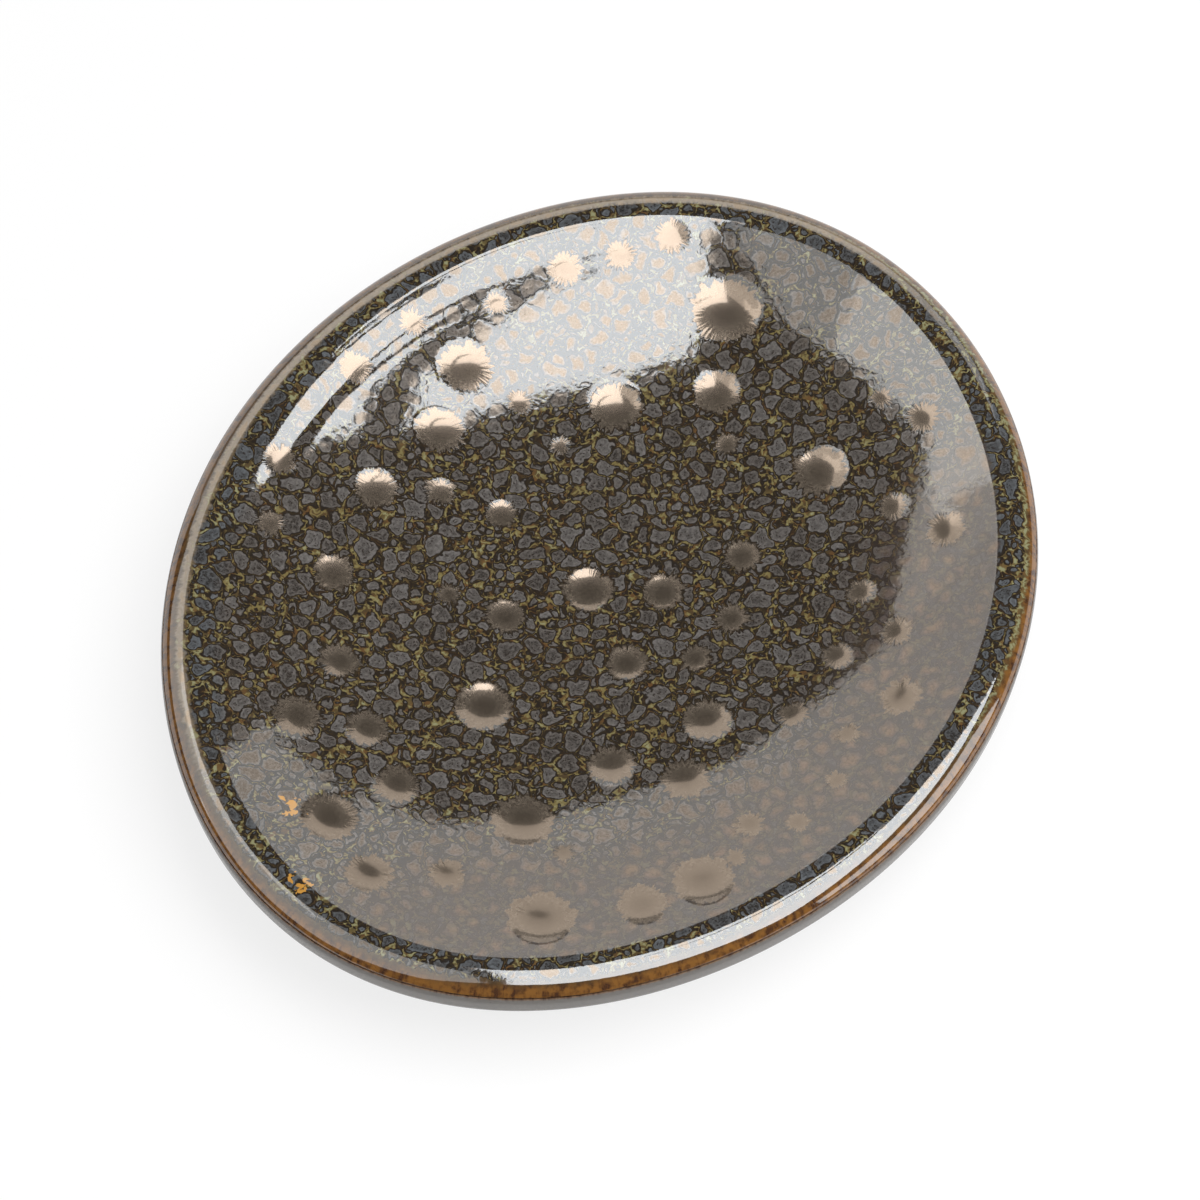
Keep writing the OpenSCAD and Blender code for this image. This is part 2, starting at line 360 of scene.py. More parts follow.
    def heel_spots(self, depth):
        form = self.form
        for turn in math.pi / 2 * np.arange(HEEL_RINGS + 1) / HEEL_RINGS:
            inset = form.lean + form.heel - (form.heel - depth) * math.cos(turn)
            yield 1, inset, self.heel_z - (form.heel - depth) * math.sin(turn), 0

    def under_spots(self, depth, start, stop):
        for at in np.linspace(start, stop, UNDER_RINGS + 1):
            yield at, self.form.rim, self.under_z(at, depth), 0

    def bowl_spots(self, depth, rings):
        """The bowl from the last ring before the middle out to the crease."""
        for at in np.arange(1, rings + 1) / rings:
            yield at, self.form.rim, self.inside_z(at, depth), 0

    def foot_spots(self):
        """The foot ring from outside in: a fillet, a rounded edge, the face, and back up."""
        form = self.form
        roof = self.under_z(form.foot_share, form.coat)
        inner_roof = self.under_z(form.foot_share - form.foot_wide / FOOT_REACH, form.coat)
        down = [(1 - math.sin(turn), 1 - math.cos(turn)) for turn in np.radians(FOOT_TURNS)]
        up = down[::-1]
        spots = [(-FOOT_FILLET * a, roof - FOOT_FILLET * b) for a, b in down]
        spots += [(FOOT_EDGE * b, FOOT_EDGE * a) for a, b in down]
        spots += [(form.foot_wide - FOOT_EDGE * b, FOOT_EDGE * a) for a, b in up]
        spots += [(form.foot_wide + FOOT_FILLET * a, inner_roof - FOOT_FILLET * b) for a, b in up]
        for extra, height in spots:
            yield form.foot_share, form.rim, height, extra


class Shell:
    """A mesh made ring by ring, with numbers kept at its points for the finish to read."""

    def __init__(self, pebble):
        self.pebble = pebble
        self.points, self.notes, self.faces = [], [], []
        self.last = None
        self.total = 0

    def add(self, points, notes):
        """Adds the points of a ring or tip, and joins them to the ring before."""
        self.points.append(points)
        self.notes.append(notes)
        self.join(self.total, len(points))
        self.total += len(points)

    def tip(self, height):
        """The single point in the middle of the plan that opens or closes a shell."""
        notes = [0.0, self.pebble.form.rim, 0.0, NO_DIMPLE, 0.0, 1.0, 1.0]
        self.add(np.array([[0.0, 0.0, height]]), np.array([notes]))

    def ring(self, spot, count, kind=0.0, shape=None):
        at, inset, height, extra = spot
        turns = np.arange(count) * 360 / count
        plan = at * self.pebble.inset_point(turns, inset) - extra * self.pebble.edge_out(turns)
        points = np.column_stack([plan, np.full(count, float(height))])
        pit, aim = np.full(count, NO_DIMPLE), np.ones((count, 2))
        if shape:
            points, pit, aim = shape(points, at, turns)
        inwards = inset + (1 - at) * self.pebble.reach
        same = np.tile([at, inwards, kind], (count, 1))
        self.add(points, np.column_stack([same, pit, turns, aim]))

    def rings(self, spots, count, kind=None, shape=None):
        """Rings of one count. kind gives each its number by its share of the bowl."""
        for spot in spots:
            self.ring(spot, count, kind(spot[0]) if kind else 0.0, shape)

    def fan(self, spots, widest, shape):
        """Rings that have fewer points nearer the middle."""
        for spot in spots:
            self.ring(spot, round(widest * spot[0]), 0.0, shape)

    def join(self, start, count):
        """Joins the ring that starts there to the one before it, whatever their counts."""
        if self.last:
            first, many = self.last
            a = b = 0
            while a < many or b < count:
                here, next_here = first + a % many, first + (a + 1) % many
                there, next_there = start + b % count, start + (b + 1) % count
                step_a = b == count or (a < many and (a + 0.5) / many <= (b + 0.5) / count)
                if many == count:
                    self.faces.append((here, next_here, next_there, there))
                    a, b = a + 1, b + 1
                elif step_a:
                    if many > 1:
                        self.faces.append((here, next_here, there))
                    a += 1
                else:
                    if count > 1:
                        self.faces.append((here, next_there, there))
                    b += 1
        self.last = (start, count)

    def close(self):
        """Joins the last ring back to the first, for a shell that runs round like a hoop."""
        self.join(0, len(self.points[0]))

    def build(self, name):
        points = np.concatenate(self.points)
        at, inset, kind, pit, turns, *aim = np.concatenate(self.notes).T
        mesh = new_mesh(name, points.tolist(), self.faces)
        mesh.validate()
        mesh.shade_smooth()
        mesh.set_sharp_from_angle(angle=math.radians(SHARP_EDGE))
        turns, span = np.radians(turns), self.pebble.reach / MM
        streak = [span * np.cos(turns), span * np.sin(turns), points[:, 2] / MM - inset / MM]
        keep = {
            "share": at,
            "inset": inset / MM,
            "kind": kind,
            "pit": pit / MM,
            "streak": np.column_stack(streak),
            "aim": np.column_stack([*aim, np.zeros(len(points))]),
        }
        for key, values in keep.items():
            sort, field = ("FLOAT", "value") if values.ndim == 1 else ("FLOAT_VECTOR", "vector")
            layer = mesh.attributes.new(key, sort, "POINT")
            layer.data.foreach_set(field, values.astype(np.float32).ravel())
        return new_object(name, mesh)


def new_mesh(name, points, faces):
    mesh = bpy.data.meshes.new(name)
    mesh.from_pydata(points, [], faces)
    return mesh


def new_object(name, data):
    """A new object, put in the scene."""
    thing = bpy.data.objects.new(name, data)
    bpy.context.scene.collection.objects.link(thing)
    return thing


def sum_by(operation, swapped=False):
    """A method that makes a Math node of an amount and another, or the other way round."""

    def method(self, other):
        return self.maths(operation, *((other, self) if swapped else (self, other)))

    return method


class Amount:
    """A number socket that sums like a Python number; each sum adds a Math node."""

    def __init__(self, recipe, socket):
        self.recipe, self.socket = recipe, socket

    def maths(self, operation, *terms):
        values = dict(enumerate(terms))
        return self.recipe.add("ShaderNodeMath", {"operation": operation}, values).number()

    __add__ = __radd__ = sum_by("ADD")
    __mul__ = __rmul__ = sum_by("MULTIPLY")
    __sub__, __rsub__ = sum_by("SUBTRACT"), sum_by("SUBTRACT", True)
    __truediv__, __rtruediv__ = sum_by("DIVIDE"), sum_by("DIVIDE", True)
    least, most = sum_by("MINIMUM"), sum_by("MAXIMUM")

    def __neg__(self):
        return self * -1.0

    def __abs__(self):
        return self.maths("ABSOLUTE", self)

    def soft_least(self, other, softness):
        """The lesser of the two, with the corner between them rounded off."""
        return self.maths("SMOOTH_MIN", self, other, softness)

    def ease(self, low, high):
        """Runs smoothly from 0 where the amount is low to 1 where it is high, whichever is the greater."""
        ends = (low, high, 0.0, 1.0) if low < high else (high, low, 1.0, 0.0)
        values = dict(zip(("Value", "From Min", "From Max", "To Min", "To Max"), (self, *ends)))
        return self.recipe.add("ShaderNodeMapRange", {"interpolation_type": "SMOOTHSTEP"}, values).number()

    def spread(self, low, high):
        """Stretches an amount that runs from 0 to 1 to run from low to high."""
        return self * (high - low) + low


class Step:
    """One node of a recipe, and its outputs as amounts or as plain links."""

    def __init__(self, recipe, node):
        self.recipe, self.node = recipe, node

    def number(self, output=0):
        return Amount(self.recipe, self.node.outputs[output])

    def link(self, output=0):
        return self.node.outputs[output]


def vector_by(operation, second=1, output="Vector"):
    """A method that makes a Vector Math node of a vector, and of what goes to its second socket."""

    def method(self, *terms):
        step = self.add("ShaderNodeVectorMath", {"operation": operation}, dict(zip((0, second), terms)))
        return step.number(output) if output == "Value" else step.link()

    return method


class Recipe:
    """The nodes of one finish. Colours are links, or settings of a look."""

    def __init__(self, tree):
        self.tree = tree
        tree.nodes.clear()

    def add(self, kind, settings=None, values=None):
        """Makes a node, sets its settings, then gives its sockets their values or links."""
        node = self.tree.nodes.new(kind)
        for key, value in (settings or {}).items():
            setattr(node, key, value)
        for key, value in (values or {}).items():
            source = value.socket if isinstance(value, Amount) else value
            if isinstance(source, bpy.types.NodeSocket):
                self.tree.links.new(source, node.inputs[key])
            else:
                node.inputs[key].default_value = source
        return Step(self, node)

    def place(self):
        """Where a point lies, in millimetres."""
        return self.scaled(self.add("ShaderNodeTexCoord").link("Object"), 1 / MM)

    def note(self, name):
        return self.add("ShaderNodeAttribute", {"attribute_name": name}).number("Fac")

    def vector_note(self, name):
        return self.add("ShaderNodeAttribute", {"attribute_name": name}).link("Vector")

    scaled = vector_by("SCALE", "Scale")
    moved = vector_by("ADD")
    squeezed = vector_by("MULTIPLY")
    unit = vector_by("NORMALIZE")
    size_of = vector_by("LENGTH", output="Value")
    apart = vector_by("DISTANCE", output="Value")
    along = vector_by("DOT_PRODUCT", output="Value")

    def parts(self, vector):
        """The three numbers of a colour or vector."""
        step = self.add("ShaderNodeSeparateXYZ", None, {0: vector})
        return [step.number(k) for k in range(3)]

    def noises(self, *where_and_how):
        """A noise by its place, scale, detail, roughness and distortion, as far as these are given."""
        names = ("Vector", "Scale", "Detail", "Roughness", "Distortion")
        return self.add("ShaderNodeTexNoise", None, dict(zip(names, where_and_how)))

    def noise(self, *where_and_how):
        return self.noises(*where_and_how).number()

    def sway(self, reach, *where_and_how):
        """A vector that swings this far either side of nothing."""
        return self.scaled(self.moved(self.noises(*where_and_how).link("Color"), HALF_DOWN), reach)

    def cells(self, where, spacing, feature, dimensions="2D"):
        settings = {"voronoi_dimensions": dimensions, "feature": feature}
        return self.add("ShaderNodeTexVoronoi", settings, {"Vector": where, "Scale": 1 / spacing})

    def specks(self, where, spacing, dimensions="2D"):
        """How far off the nearest speck's middle lies, as a share of their spacing."""
        return self.cells(where, spacing, "F1", dimensions).number("Distance")

    def mix(self, share_of_b, a, b):
        """A colour between a and b."""
        a, b = (c if isinstance(c, bpy.types.NodeSocket) else (*c, 1.0) for c in (a, b))
        settings = {"data_type": "RGBA", "clamp_factor": True}
        return self.add("ShaderNodeMix", settings, {0: share_of_b, 6: a, 7: b}).link(2)

    def blend(self, share_of_b, a, b):
        """A shader between a and b."""
        return self.add("ShaderNodeMixShader", None, {0: share_of_b, 1: a, 2: b}).link()

    def bump(self, height):
        """A normal from a height in millimetres."""
        return self.add("ShaderNodeBump", None, {"Strength": 1.0, "Distance": MM, "Height": height}).link()

    def glossy(self, base, roughness, normal, index, tint=(1.0, 1.0, 1.0)):
        """A glaze or clay, whose index and tint are the same all over."""
        values = {"Base Color": base, "Roughness": roughness, "Normal": normal}
        values |= {"IOR": index, "Specular Tint": (*tint, 1.0)}
        return self.add("ShaderNodeBsdfPrincipled", None, values).link()

    def glow(self, tint, strength):
        return self.add("ShaderNodeEmission", None, {"Color": (*tint, 1), "Strength": strength}).link()


def finish_of(name, fill):
    """A new material whose recipe fill writes. fill returns the shader."""
    material = bpy.data.materials.new(name)
    material.use_nodes = True
    recipe = Recipe(material.node_tree)
    recipe.add("ShaderNodeOutputMaterial", None, {"Surface": fill(recipe)})
    return material


def towards(turn, reach=64):
    """The way to that side of the dish, over its mean reach in millimetres."""
    return math.cos(math.radians(turn)) / reach, math.sin(math.radians(turn)) / reach, 0.0


# The side of the bowl where the glaze ran together, and the side where the amber line is thinnest
LOW_SIDE, RIGHT_SIDE = towards(250), towards(312)
# Brings a noise's colour to swing either side of nothing
HALF_DOWN = (-0.5, -0.5, -0.5)
# Each size of cell, in millimetres: spacing, least and greatest radius, least and greatest half gap
LARGE_CELLS = (3.0, 0.45, 2.2, 0.06, 0.34)
SMALL_CELLS = (1.6, 0.2, 1.0, 0.04, 0.24)
TINY_CELLS = (0.9, -0.1, 0.42, 0.04, 0.14)
# How far the small and the tiny ones keep off the rest, and how round corners are, as a share of spacing
SMALL_OFF, TINY_OFF, CELL_ROUND = 0.38, 0.3, 0.42
# Spacing in millimetres of the black specks in the cells, pinholes in the grey glaze and iron in the clay
SPECK_SPACING, PIN_SPACING, IRON_SPACING = 0.52, 1.7, 1.6
# How the runs of glaze over the lip are drawn out, inside and outside
RUNS_INSIDE, RUNS_OUTSIDE = (1.3, 1.3, 0.8), (1.3, 1.3, 0.5)
# Roughness and index of what mirrors: the ground, the cells, and the dimples' clear and clouded skins
GLASS, PEARL, LUSTRE, BLOOM = (0.05, 1.95), (0.07, 2.05), (0.08, 2.55), (0.26, 2.4)
BLOOM_SHARE = 0.42
GREY_INDEX, CLAY_INDEX = 1.5, 1.45
# Places of the two ochre flakes: turn, share of the way to the crease, and how wide in millimetres
FLAKES = ((157, 0.90, 1.5), (168, 1.01, 1.4))


def speckled_finish(look, pebble):
    """Grey cells in veins of olive and rust, amber where it thins over the lip, deep glass in the dimples."""

    def fill(r):
        place = r.place()
        inset, pit = r.note("inset"), r.note("pit")
        streak, aim = r.vector_note("streak"), r.vector_note("aim")

        # Two noises bend the plan, so that no cell keeps a ruled edge
        wander = r.sway(2.4, place, 0.35, 1.0)
        shiver = r.sway(0.9, place, 1.2, 1.5, 0.5)
        bent = r.moved(place, r.moved(wander, shiver))
        lumps = (r.noise(place, 0.9, 1.0, 0.4) - 0.5) * 0.6

        # Signed depth into a cell in millimetres, for cells of one size, and each cell's own chance
        def cell_depth(spacing, small, large, near, far):
            edge = r.cells(bent, spacing, "DISTANCE_TO_EDGE").number() * spacing
            middle = r.cells(bent, spacing, "F1")
            chance = r.parts(middle.link("Color"))
            radius = chance[0].spread(small, large)
            inner = edge - chance[1].spread(near, far)
            disc = radius - middle.number("Distance") * spacing
            return inner.soft_least(disc, spacing * CELL_ROUND) + lumps, chance[2]

        large, large_chance = cell_depth(*LARGE_CELLS)
        small, small_chance = cell_depth(*SMALL_CELLS)
        small = small.least(-SMALL_OFF - large)
        depth = large.most(small)
        tiny = cell_depth(*TINY_CELLS)[0]
        depth = depth.most(tiny.least(-TINY_OFF - depth))
        chance = r.mix((large - small).ease(-0.1, 0.1), small_chance.socket, large_chance.socket)
        chance = r.parts(chance)[0]

        # A dimple takes the place of the cells that it covers, and none form in the thin glaze of the lip
        ragged = r.noise(place, 0.7, 3.0, 0.6) - 0.5
        radius = r.size_of(aim)
        around = r.moved(r.scaled(r.unit(aim), 5.0), r.scaled(place, 0.12))
        spikes = r.noise(around, 1.0, 2.0, 0.6) - 0.5
        in_pit = pit + ragged * 1.6 + spikes * 3.0
        runs = r.noise(r.squeezed(streak, RUNS_INSIDE), 1.0, 3.0, 0.6, 0.6)
        thin = inset + ragged * 0.8 + (runs - 0.5) * 1.6
        depth = depth.least(-in_pit - 0.3).least(thin - 2.3)
        body = depth.most(in_pit)
        cell = body.ease(-0.03, 0.06)
        line = 1 - abs(body + 0.04).ease(0.04, 0.18)
        gap = -body
        by_rim = inset.ease(10.0, 6.0)

        # Ground: dark brown glass beside the cells, rust in patches, olive veins along the middle of the gaps
        mottle = r.noise(place, 0.6, 2.0, 0.55)
        threads = r.noise(place, 0.85, 2.0, 0.5, 0.5)
        wet = r.noise(r.moved(place, (40.0, 0.0, 0.0)), 0.7, 2.0, 0.6)
        ground = r.mix(wet.ease(0.48, 0.62), look.ground, look.rust)
        strand = 1 - abs(threads - 0.5).ease(0.0, 0.11)
        vein = gap.ease(0.08, 0.25) * (strand * 0.8 + mottle * 0.9 + by_rim * 0.15).ease(0.4, 1.05)
        ground = r.mix(vein, ground, look.vein)
        pale = gap.ease(0.15, 0.4) * (strand * 0.5 + mottle + by_rim * 0.22).ease(0.86, 1.15)
        ground = r.mix(pale, ground, look.pale)

        # Cells: warm grey, bluer by the rim, each a little lighter or darker, with a pale edge and, in the
        # larger ones, black specks towards the middle
        grain = r.noise(place, 2.3, 3.0, 0.7)
        cell_tone = r.mix(by_rim * 0.75 + chance * 0.3, look.cell, look.cell_cool)
        edge_light = depth.ease(0.05, 0.16) * depth.ease(0.5, 0.16)
        lift = chance.spread(0.62, 1.15) + (grain - 0.5) * 2.8 + edge_light * 0.25
        cell_tone = r.scaled(cell_tone, lift - depth.ease(0.5, 1.3) * 0.15)
        specks = r.specks(bent, SPECK_SPACING)
        speck = specks.ease(0.42, 0.24) * depth.ease(0.15, 0.5) * grain.ease(0.42, 0.54)
        cell_tone = r.mix(speck * 0.8, cell_tone, look.outline)
        paint = r.mix(cell, ground, cell_tone)

        # Dimples: grey on the sides, deep and dark in the middle, with black specks near the edge
        pooled = in_pit.ease(-0.03, 0.06)
        dimple_tone = r.mix(radius.ease(0.8, 0.2), look.bank, look.pit)
        dimple_tone = r.scaled(dimple_tone, (grain - 0.5) * 2.0 + 0.9)
        pores = specks.ease(0.45, 0.25) * radius.ease(0.35, 0.7) * grain.ease(0.4, 0.52)
        dimple_tone = r.mix(pores * 0.85, dimple_tone, look.outline)
        paint = r.mix(pooled, paint, dimple_tone)
        paint = r.mix(line * 0.92, paint, look.outline)

        # Deep glass pools over the cells at the low side, by the crease
        side = r.along(place, LOW_SIDE)
        low = r.note("share").ease(0.55, 0.8) * side.ease(0.12, 0.4)
        drowned = low * thin.ease(5.3, 6.2) * (1 - pooled)
        pool = r.mix(large.ease(0.0, 1.0) * 0.65, look.drowned, look.drowned_light)
        pool = r.mix(wet.ease(0.4, 0.7) * 0.2, pool, look.vein)
        swirl = 1 - abs(wet - 0.5).ease(0.0, 0.06)
        pool = r.scaled(pool, 1 - swirl * 0.3 + (grain - 0.5) * 0.5)
        paint = r.mix(drowned * 0.8, paint, pool)

        # On the far side the glaze is already thin and tan further in
        worn = thin.ease(3.9, 2.9) * side.ease(0.1, -0.4)
        paint = r.mix(worn * (0.75 - vein * 0.35), paint, look.worn)

        # Amber streaks where the glaze runs thin over the lip, darker where they start
        blotch = r.noise(place, 0.8, 3.0, 0.6) * 0.65 + runs * 0.35
        amber = r.mix(blotch.ease(0.38, 0.58), look.amber_dark, look.amber)
        amber = r.mix(thin.ease(0.8, 2.0) * 0.8, amber, look.ground)
        narrower = r.along(place, RIGHT_SIDE).ease(0.6, 0.9) * 0.8
        paint = r.mix((thin + narrower).ease(2.5, 1.9), paint, amber)

        # Two ochre flakes on the left of the bowl
        flat = r.squeezed(place, (1.0, 1.0, 0.0))
        for turn, at, wide in FLAKES:
            across, along = (pebble.inset_point(turn, pebble.form.rim) * at / MM).tolist()
            off = r.apart(flat, (across, along, 0.0))
            flake = (off / wide + (threads - 0.5) * 5).ease(0.75, 0.6)
            paint = r.mix(flake * 0.9, paint, look.flake)

        # Relief: low domes on the cells, and an uneven skin that ruffles the edges of what it mirrors
        dome = depth.ease(-0.2, 0.4) * 0.002 * (1 - drowned * 0.7)
        skin = r.noise(place, 0.7, 2.0, 0.4) * 0.009
        calm = 1 - pooled * 0.7
        rays = spikes * radius.ease(0.45, 0.8) * pit.ease(-0.6, -0.1) * 0.03
        normal = r.bump((dome + skin) * calm + rays)

        def skin_of(kind, tint):
            roughness, index = kind
            return r.glossy(paint, roughness, normal, index, tint)

        glass, pearl = skin_of(GLASS, look.glass), skin_of(PEARL, look.pearl)
        lustre, bloom = skin_of(LUSTRE, look.lustre), skin_of(BLOOM, look.lustre)
        shine = depth.ease(0.0, 0.45) * (1 - drowned) + drowned * (large.ease(-0.5, 1.2) * 0.7 + 0.3)
        in_dimple = r.blend(BLOOM_SHARE, lustre, bloom)
        return r.blend(in_pit.ease(-0.1, 0.25), r.blend(shine, glass, pearl), in_dimple)

    return finish_of("speckled_glaze_finish", fill)


def grey_finish(look, pebble):
    """A plain warm grey glaze, brown where it meets the speckled one and at the wiped line."""
    meet_z = pebble.edge_z + pebble.form.drop * math.cos(math.pi / 2 * pebble.form.meet)

    def fill(r):
        place = r.place()
        cloud = r.noise(place, 0.16, 3.0, 0.6)
        grain = r.noise(place, 2.2, 3.0, 0.6)
        paint = r.scaled(look.outside, cloud * 0.25 + grain * 0.2 + 0.78)
        runs = r.noise(r.squeezed(r.vector_note("streak"), RUNS_OUTSIDE), 1.0, 3.0, 0.6)
        below = meet_z / MM - r.parts(place)[2] + (runs - 0.5) * 0.6
        seam = r.mix(runs.ease(0.35, 0.6), look.amber_dark, look.amber)
        paint = r.mix(below.ease(0.6, 0.05) * 0.95, paint, seam)
        wiped = (r.note("kind") + (grain - 0.5) * 0.6).ease(0.35, 0.9)
        paint = r.mix(wiped * 0.8, paint, look.amber_dark)
        pin = r.specks(place, PIN_SPACING, "3D").ease(0.12, 0.05) * cloud.ease(0.5, 0.62)
        paint = r.mix(pin * 0.3, paint, look.outline)
        height = r.noise(place, 0.35, 3.0, 0.55) * 0.03 + grain * 0.002
        return r.glossy(paint, 0.2 + grain * 0.08, r.bump(height), GREY_INDEX)

    return finish_of("grey_glaze_finish", fill)


def clay_finish(look):
    """Bare stoneware: fine sandy grain, iron specks, turning marks, and a toasted line beside the glaze."""

    def fill(r):
        place = r.place()
        cloud = r.noise(place, 0.09, 3.0, 0.6)
        sand = r.noise(place, 3.2, 3.0, 0.7)
        reach = r.add("ShaderNodeCombineXYZ", None, {0: r.note("share")}).link()
        marks = r.noise(r.squeezed(reach, (60.0, 0.0, 0.0)), 1.0)
        paint = r.mix(cloud.ease(0.35, 0.7) * 0.35, look.body, look.toast)
        paint = r.mix((r.note("kind") + (cloud - 0.5)).ease(0.4, 1.0) * 0.8, paint, look.toast)
        iron = r.specks(place, IRON_SPACING, "3D").ease(0.2, 0.1)
        paint = r.mix(iron * 0.85, paint, look.speck)
        paint = r.scaled(paint, sand * 0.3 + marks * 0.12 + 0.79)
        height = sand * 0.03 + marks * 0.05 + iron * -0.02
        return r.glossy(paint, 0.78 + sand * 0.15, r.bump(height), CLAY_INDEX)

    return finish_of("bare_clay_finish", fill)


def back(spots):
    return reversed([*spots])


def begin(context, node):
    """The plan and an empty shell for one piece, once its solid is known to be there."""
    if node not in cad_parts:
        raise RuntimeError(f"the packed dish has no node {node}")
    pebble = Pebble(context.scene.soapdish_form)
    return pebble, Shell(pebble)


def seat(piece, node, material):
    """Puts a finished piece in the place of its solid."""
    piece.data.materials.append(material)
    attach(piece, "root")
    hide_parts(node)


# The floor: half its width, its height, a hair below the foot ring so that the two faces don't fight, its
# paper, and how much of it the camera sees as a plain glow
FLOOR_HALF, FLOOR_BELOW, PAPER, FLOOR_GLOW = 4.0, -0.00005, (0.9, 0.9, 0.9, 1), 0.82
# The camera's film in millimetres, and how near and far it sees
FILM_WIDE, CLIP_NEAR, CLIP_FAR = 36, 0.05, 20
# The dark ceiling, and in degrees its lower edge, how much higher that is behind the dish, and where it comes
# down on the right and on the left
CEILING_ROWS, CEILING_COLUMNS, CEILING_FAR = 10, 72, 9.0
CEILING_LOW, CEILING_RISE, RIGHT_OPENING, LEFT_OPENING = 4, 37.5, (24, 44), (28, 52)
WHITE, CEILING_TINT, PANEL_TINT = (1, 1, 1), (1, 0.97, 0.93), (1, 0.98, 0.95)
# The softbox in the mirrored sky: its left and right sides, its front and back, and its distance
SOFTBOX_ACROSS, SOFTBOX_ALONG, SOFTBOX_FAR = (-0.05, 0.66), (-0.5, 0.31), 1.2
# The panels by distance, brightness and outline in the mirrored sky, where 0, 0 is overhead, the first number
# runs to 1 at the horizon on the camera's right, and the second to 1 at the horizon behind the dish
PANELS = {
    "left_panel": (6.0, "side", (
        (-0.30, 0.66), (-0.33, 0.52), (-0.36, 0.42), (-0.28, 0.32), (-0.18, 0.24), (-0.08, 0.08),
        (-0.10, -0.42), (-0.35, -0.66), (-0.72, -0.56), (-0.93, -0.2), (-0.95, 0.15), (-0.78, 0.56),
    )),
    "left_window": (5.5, "window", (
        (-0.36, 0.5), (-0.36, 0.42), (-0.3, 0.34), (-0.24, 0.29), (-0.3, 0.14), (-0.55, 0.02),
        (-0.9, -0.08), (-0.95, 0.1), (-0.85, 0.25), (-0.6, 0.42),
    )),
    "right_panel": (6.0, "window", ((0.75, 0.12), (0.74, -0.5), (0.8, -0.56), (0.96, -0.2), (0.97, 0.14))),
    "back_panel": (5.0, "back", (
        (-0.42, 0.54), (-0.27, 0.655), (-0.15, 0.72), (0.1, 0.73), (0.22, 0.69), (0.34, 0.62), (0.5, 0.74),
        (0.3, 0.87), (0.0, 0.92), (-0.35, 0.86), (-0.65, 0.66),
    )),
    "low_screen": (4.5, "low", (
        (-0.64, 0.70), (-0.35, 0.87), (0.0, 0.93), (0.3, 0.88), (0.5, 0.75), (0.56, 0.78), (0.42, 0.875),
        (0.2, 0.945), (0.0, 0.965), (-0.2, 0.945), (-0.45, 0.87), (-0.66, 0.735),
    )),
}
# The ragged bar across the softbox, as the dish shows it. It hangs near the dish, and so a little further
# left, by a share of its distance across, and further back, by a share of the way to BAR_BEHIND.
CROSSBAR = (
    (0.36, 0.38), (0.355, 0.31), (0.345, 0.27), (0.355, 0.235), (0.325, 0.2), (0.3, 0.155), (0.24, 0.12),
    (0.17, 0.1), (0.1, 0.096), (0.1, 0.106), (0.16, 0.116), (0.2, 0.15), (0.245, 0.165), (0.26, 0.2),
    (0.295, 0.215), (0.28, 0.25), (0.3, 0.3), (0.27, 0.38),
)
BAR_LEFT, BAR_BACK, BAR_BEHIND, BAR_FAR = 0.137, 0.116, 0.53, 1.1


def axes(studio):
    """The camera's right, and the level direction away from it."""
    turn = studio.camera_round
    return Vector((math.cos(turn), math.sin(turn), 0)), Vector((-math.sin(turn), math.cos(turn), 0))


def raised(level):
    """A level vector shorter than 1, raised to the point of the sky above its end."""
    level.z = math.sqrt(max(0.0, 1 - level.length_squared))
    return level


def seen(r):
    """1 for rays from the camera, off a mirror or through glass."""
    path = r.add("ShaderNodeLightPath")
    kinds = ("Is Camera Ray", "Is Glossy Ray", "Is Transmission Ray")
    camera, glossy, through = (path.number(kind) for kind in kinds)
    return camera.most(glossy).most(through)


def only_mirrored(thing):
    """Lets only reflections see a thing."""
    thing.visible_camera = False
    thing.visible_diffuse = False
    thing.visible_shadow = False


